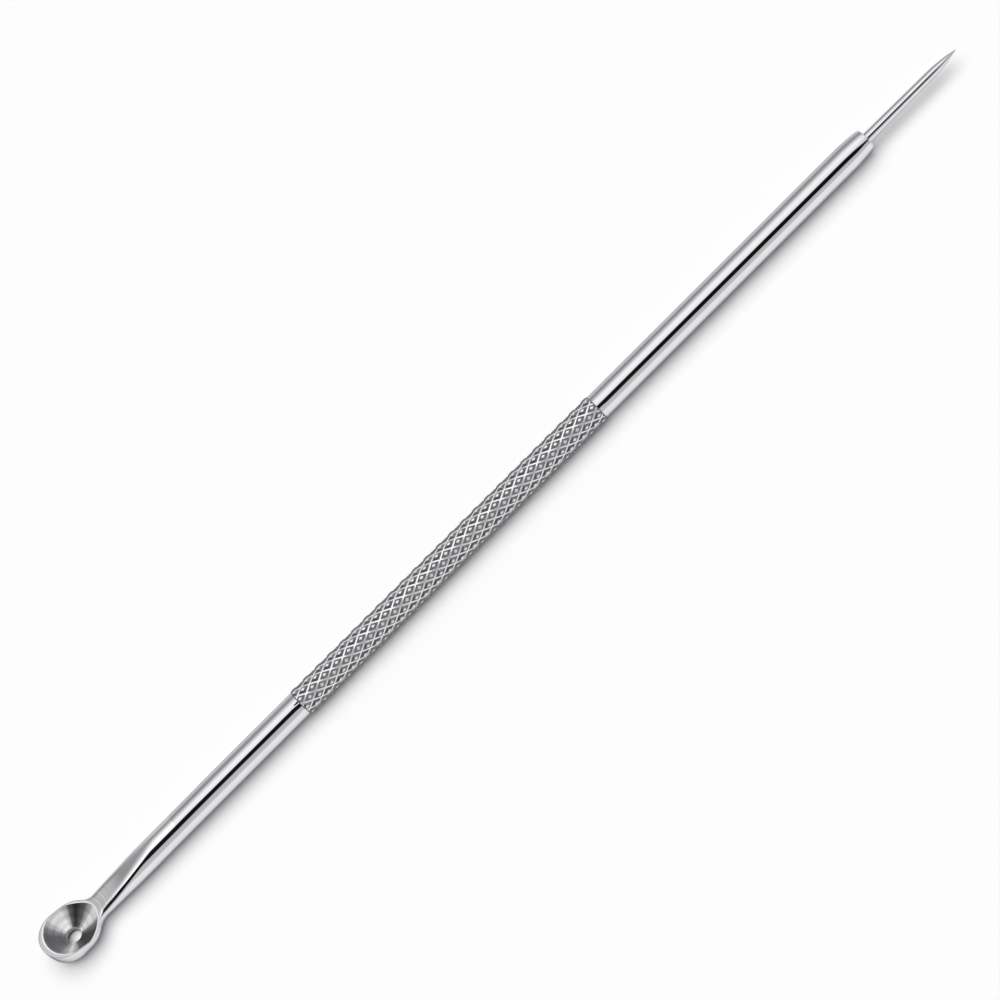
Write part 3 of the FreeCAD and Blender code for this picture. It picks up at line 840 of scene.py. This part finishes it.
def newMaterial(name):
    finish = finishes[name]
    material = bpy.data.materials.new(name)
    material.use_nodes = True
    tree = material.node_tree
    shader = tree.nodes["Principled BSDF"]
    edge = finish["edge"]
    shader.inputs["Metallic"].default_value = finish.get("metal", 1.0)
    shader.inputs["Specular Tint"].default_value = (edge, edge, edge * edgeBlue, 1)
    steel = useGroup(tree, grainGroup, Base=(*finish["base"], 1), Smooth=finish["smooth"],
                     Dull=finish["dull"])
    color, roughness = steel["Color"], steel["Roughness"]
    if "density" in finish:
        label = tree.nodes.new("ShaderNodeUVMap")
        label.uv_map = "surface"
        labels = splitVector(tree, label.outputs[0])
        color, roughness = drawMarks(tree, shader, finish, labels, color, roughness)
        # painted reflection round the dish, painted shade in the hole
        if "paintedSheen" in finish:
            color = paintDishSheenAndShade(tree, finish, labels, color)
    # painted shade on the knurl's flanks
    if "flank" in finish:
        color = shadeFlanks(tree, finish, color)
    tree.links.new(color, shader.inputs["Base Color"])
    tree.links.new(roughness, shader.inputs["Roughness"])
    return material


materials = {name: newMaterial(name) for name in finishes}
print("materials:", ", ".join(finishes))

handleShell = Shell("polishedSteel", "dishSteel", "rampSteel", "knurlSteel", "edgeHighlightSteel")
loop = addSpoon(handleShell)
addBar(handleShell, addNeck(handleShell, loop))
handlePiece = handleShell.build("spoonHandle")
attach(handlePiece, "root")
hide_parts("spoon_handle")
print("handle:", len(handlePiece.data.vertices), "points,", len(handlePiece.data.polygons), "faces")

needleShell = Shell("needleSteel")
addNeedle(needleShell)
needlePiece = needleShell.build("lancetNeedle")
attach(needlePiece, "root")
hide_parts("lancet_needle")
print("needle:", len(needlePiece.data.vertices), "points,", len(needlePiece.data.polygons), "faces")


# Stage: pale floor, world seen by polished steel as bands across the bar, one soft lamp, camera

stage = {
    "floorSize": 4.0,
    "floorDrop": 1e-5,  # metres under the tool
    "floorColor": (0.84, 0.84, 0.84),
    "floorGlow": 0.04,
    "sunPower": 2.76,
    "sunAngle": math.radians(75),
    "sunLean": math.radians(9),  # towards the far side
    "skyStrength": 0.25,
    "peak": 1.2,
    "bands": [  # degrees round the bar, and level
        (0, 0.62), (17, 0.62), (33, 0.56), (60, 0.8), (78, 1.05), (98, 1.14), (106, 1.09), (115, 0.89),
        (125, 0.67), (135, 0.47), (145, 0.30), (157, 0.345), (170, 0.57), (180, 0.61),
    ],
    "stripAt": 51.8,  # middle of the dark strip, in degrees round the bar
    "stripTilt": -27.2,  # degrees that it shifts by towards the needle
    "stripHalf": 16.0,
    "stripSoft": 2.5,
    "stripLevel": 0.01,
    "flareFrom": 0.15,  # how far towards the spoon the strip starts to widen
    "flare": 60.0,
    "fadeFrom": 0.3,  # how far towards the needle it starts to narrow
    "endsFrom": 0.35,
    "endsTo": 0.75,
    "endsLevel": 0.35,
}

camera = {
    "elevation": math.radians(56.5),
    "roll": math.radians(44.95),
    "focalPixels": 2850.0,
    "pixelsPerMm": 9.157,
    "imagePixels": 1000.0,
    "middlePixel": (502.5, 502.0),  # where the middle of the tool falls in the picture
    "sensor": 36.0,
    "clipStart": 0.01,
}


def addFloor():
    half = stage["floorSize"] / 2
    corners = np.array([[-half, -half], [half, -half], [half, half], [-half, half]])
    points = np.column_stack([corners, np.full(len(corners), -stage["floorDrop"])])
    mesh = bpy.data.meshes.new("floor")
    mesh.from_pydata(points.tolist(), [], [(0, 1, 2, 3)])
    floor = bpy.data.objects.new("floor", mesh)
    bpy.context.collection.objects.link(floor)
    material = bpy.data.materials.new("floorWhite")
    material.use_nodes = True
    shader = material.node_tree.nodes["Principled BSDF"]
    shader.inputs["Base Color"].default_value = (*stage["floorColor"], 1)
    shader.inputs["Emission Color"].default_value = (1, 1, 1, 1)
    shader.inputs["Emission Strength"].default_value = stage["floorGlow"]
    shader.inputs["Roughness"].default_value = 1
    shader.inputs["Specular IOR Level"].default_value = 0
    mesh.materials.append(material)


def addWorld():  # steel sees bands across the bar, a dark strip and dim ends; the camera sees white
    world = bpy.data.worlds.new("studio")
    bpy.context.scene.world = world
    world.use_nodes = True
    tree = world.node_tree
    nodes, links = tree.nodes, tree.links
    nodes.clear()
    lengthwise, across, up = splitVector(tree, nodes.new("ShaderNodeTexCoord").outputs["Generated"])
    angle = calc(tree, "ARCTAN2", up, calc(tree, "MULTIPLY", across, -1.0))
    degrees = calc(tree, "MULTIPLY", angle, 180 / math.pi)
    stops = [(bandAngle / 180, level / stage["peak"]) for bandAngle, level in stage["bands"]]
    bands = greyRamp(tree, stops, "LINEAR")
    links.new(calc(tree, "DIVIDE", degrees, 180.0), bands.inputs[0])
    middle = calc(tree, "ADD", calc(tree, "MULTIPLY", lengthwise, stage["stripTilt"]), stage["stripAt"])
    offStrip = calc(tree, "ABSOLUTE", calc(tree, "SUBTRACT", degrees, middle))
    half, soft = stage["stripHalf"], stage["stripSoft"]
    flare = calc(tree, "MAXIMUM", calc(tree, "SUBTRACT", -stage["flareFrom"], lengthwise), 0.0)
    fade = calc(tree, "MAXIMUM", calc(tree, "SUBTRACT", lengthwise, stage["fadeFrom"]), 0.0)
    widening = calc(tree, "MULTIPLY", calc(tree, "SUBTRACT", flare, fade), stage["flare"])
    offStrip = calc(tree, "SUBTRACT", offStrip, widening)
    strip = remap(tree, offStrip, (half - soft, half + soft), (stage["stripLevel"], 1.0))
    ends = remap(tree, calc(tree, "ABSOLUTE", lengthwise), (stage["endsFrom"], stage["endsTo"]),
                 (1.0, stage["endsLevel"]))
    glossy = nodes.new("ShaderNodeBackground")
    links.new(bands.outputs[0], glossy.inputs["Color"])
    strength = calc(tree, "MULTIPLY", calc(tree, "MULTIPLY", strip, ends), stage["peak"])
    links.new(strength, glossy.inputs["Strength"])
    path = nodes.new("ShaderNodeLightPath")
    plain = nodes.new("ShaderNodeBackground")
    plain.inputs["Color"].default_value = (1, 1, 1, 1)
    plain.inputs["Strength"].default_value = stage["skyStrength"]
    white = nodes.new("ShaderNodeBackground")
    white.inputs["Color"].default_value = (1, 1, 1, 1)
    first, second = nodes.new("ShaderNodeMixShader"), nodes.new("ShaderNodeMixShader")
    links.new(path.outputs["Is Glossy Ray"], first.inputs[0])
    links.new(plain.outputs[0], first.inputs[1])
    links.new(glossy.outputs[0], first.inputs[2])
    links.new(path.outputs["Is Camera Ray"], second.inputs[0])
    links.new(first.outputs[0], second.inputs[1])
    links.new(white.outputs[0], second.inputs[2])
    links.new(second.outputs[0], nodes.new("ShaderNodeOutputWorld").inputs["Surface"])


def addLamp():
    light = bpy.data.lights.new("softSun", "SUN")
    light.energy = stage["sunPower"]
    light.angle = stage["sunAngle"]
    lamp = bpy.data.objects.new("softSun", light)
    bpy.context.collection.objects.link(lamp)
    lamp.rotation_euler = (-stage["sunLean"], 0, 0)
    lamp.visible_glossy = False


def addCamera():
    lift, roll = camera["elevation"], camera["roll"]
    across, rise = Vector((1, 0, 0)), Vector((0, math.sin(lift), math.cos(lift)))
    back = Vector((0, -math.cos(lift), math.sin(lift)))
    right = across * math.cos(roll) - rise * math.sin(roll)
    up = across * math.sin(roll) + rise * math.cos(roll)
    half = camera["imagePixels"] / 2
    offset = [(pixel - half) / camera["pixelsPerMm"] * mm for pixel in camera["middlePixel"]]
    middle = Vector((tipX + overallLength / 2 * mm, 0, axisZ)) - right * offset[0] + up * offset[1]
    distance = camera["focalPixels"] / camera["pixelsPerMm"] * mm
    data = bpy.data.cameras.new("camera")
    data.sensor_width = camera["sensor"]
    data.lens = camera["focalPixels"] / camera["imagePixels"] * camera["sensor"]
    data.clip_start = camera["clipStart"]
    viewer = bpy.data.objects.new("camera", data)
    bpy.context.collection.objects.link(viewer)
    turned = Matrix((right, up, back)).transposed().to_4x4()
    viewer.matrix_world = Matrix.Translation(middle + back * distance) @ turned
    bpy.context.scene.camera = viewer


addFloor()
addWorld()
addLamp()
addCamera()
bpy.context.scene.view_settings.view_transform = "Standard"
print("stage set")
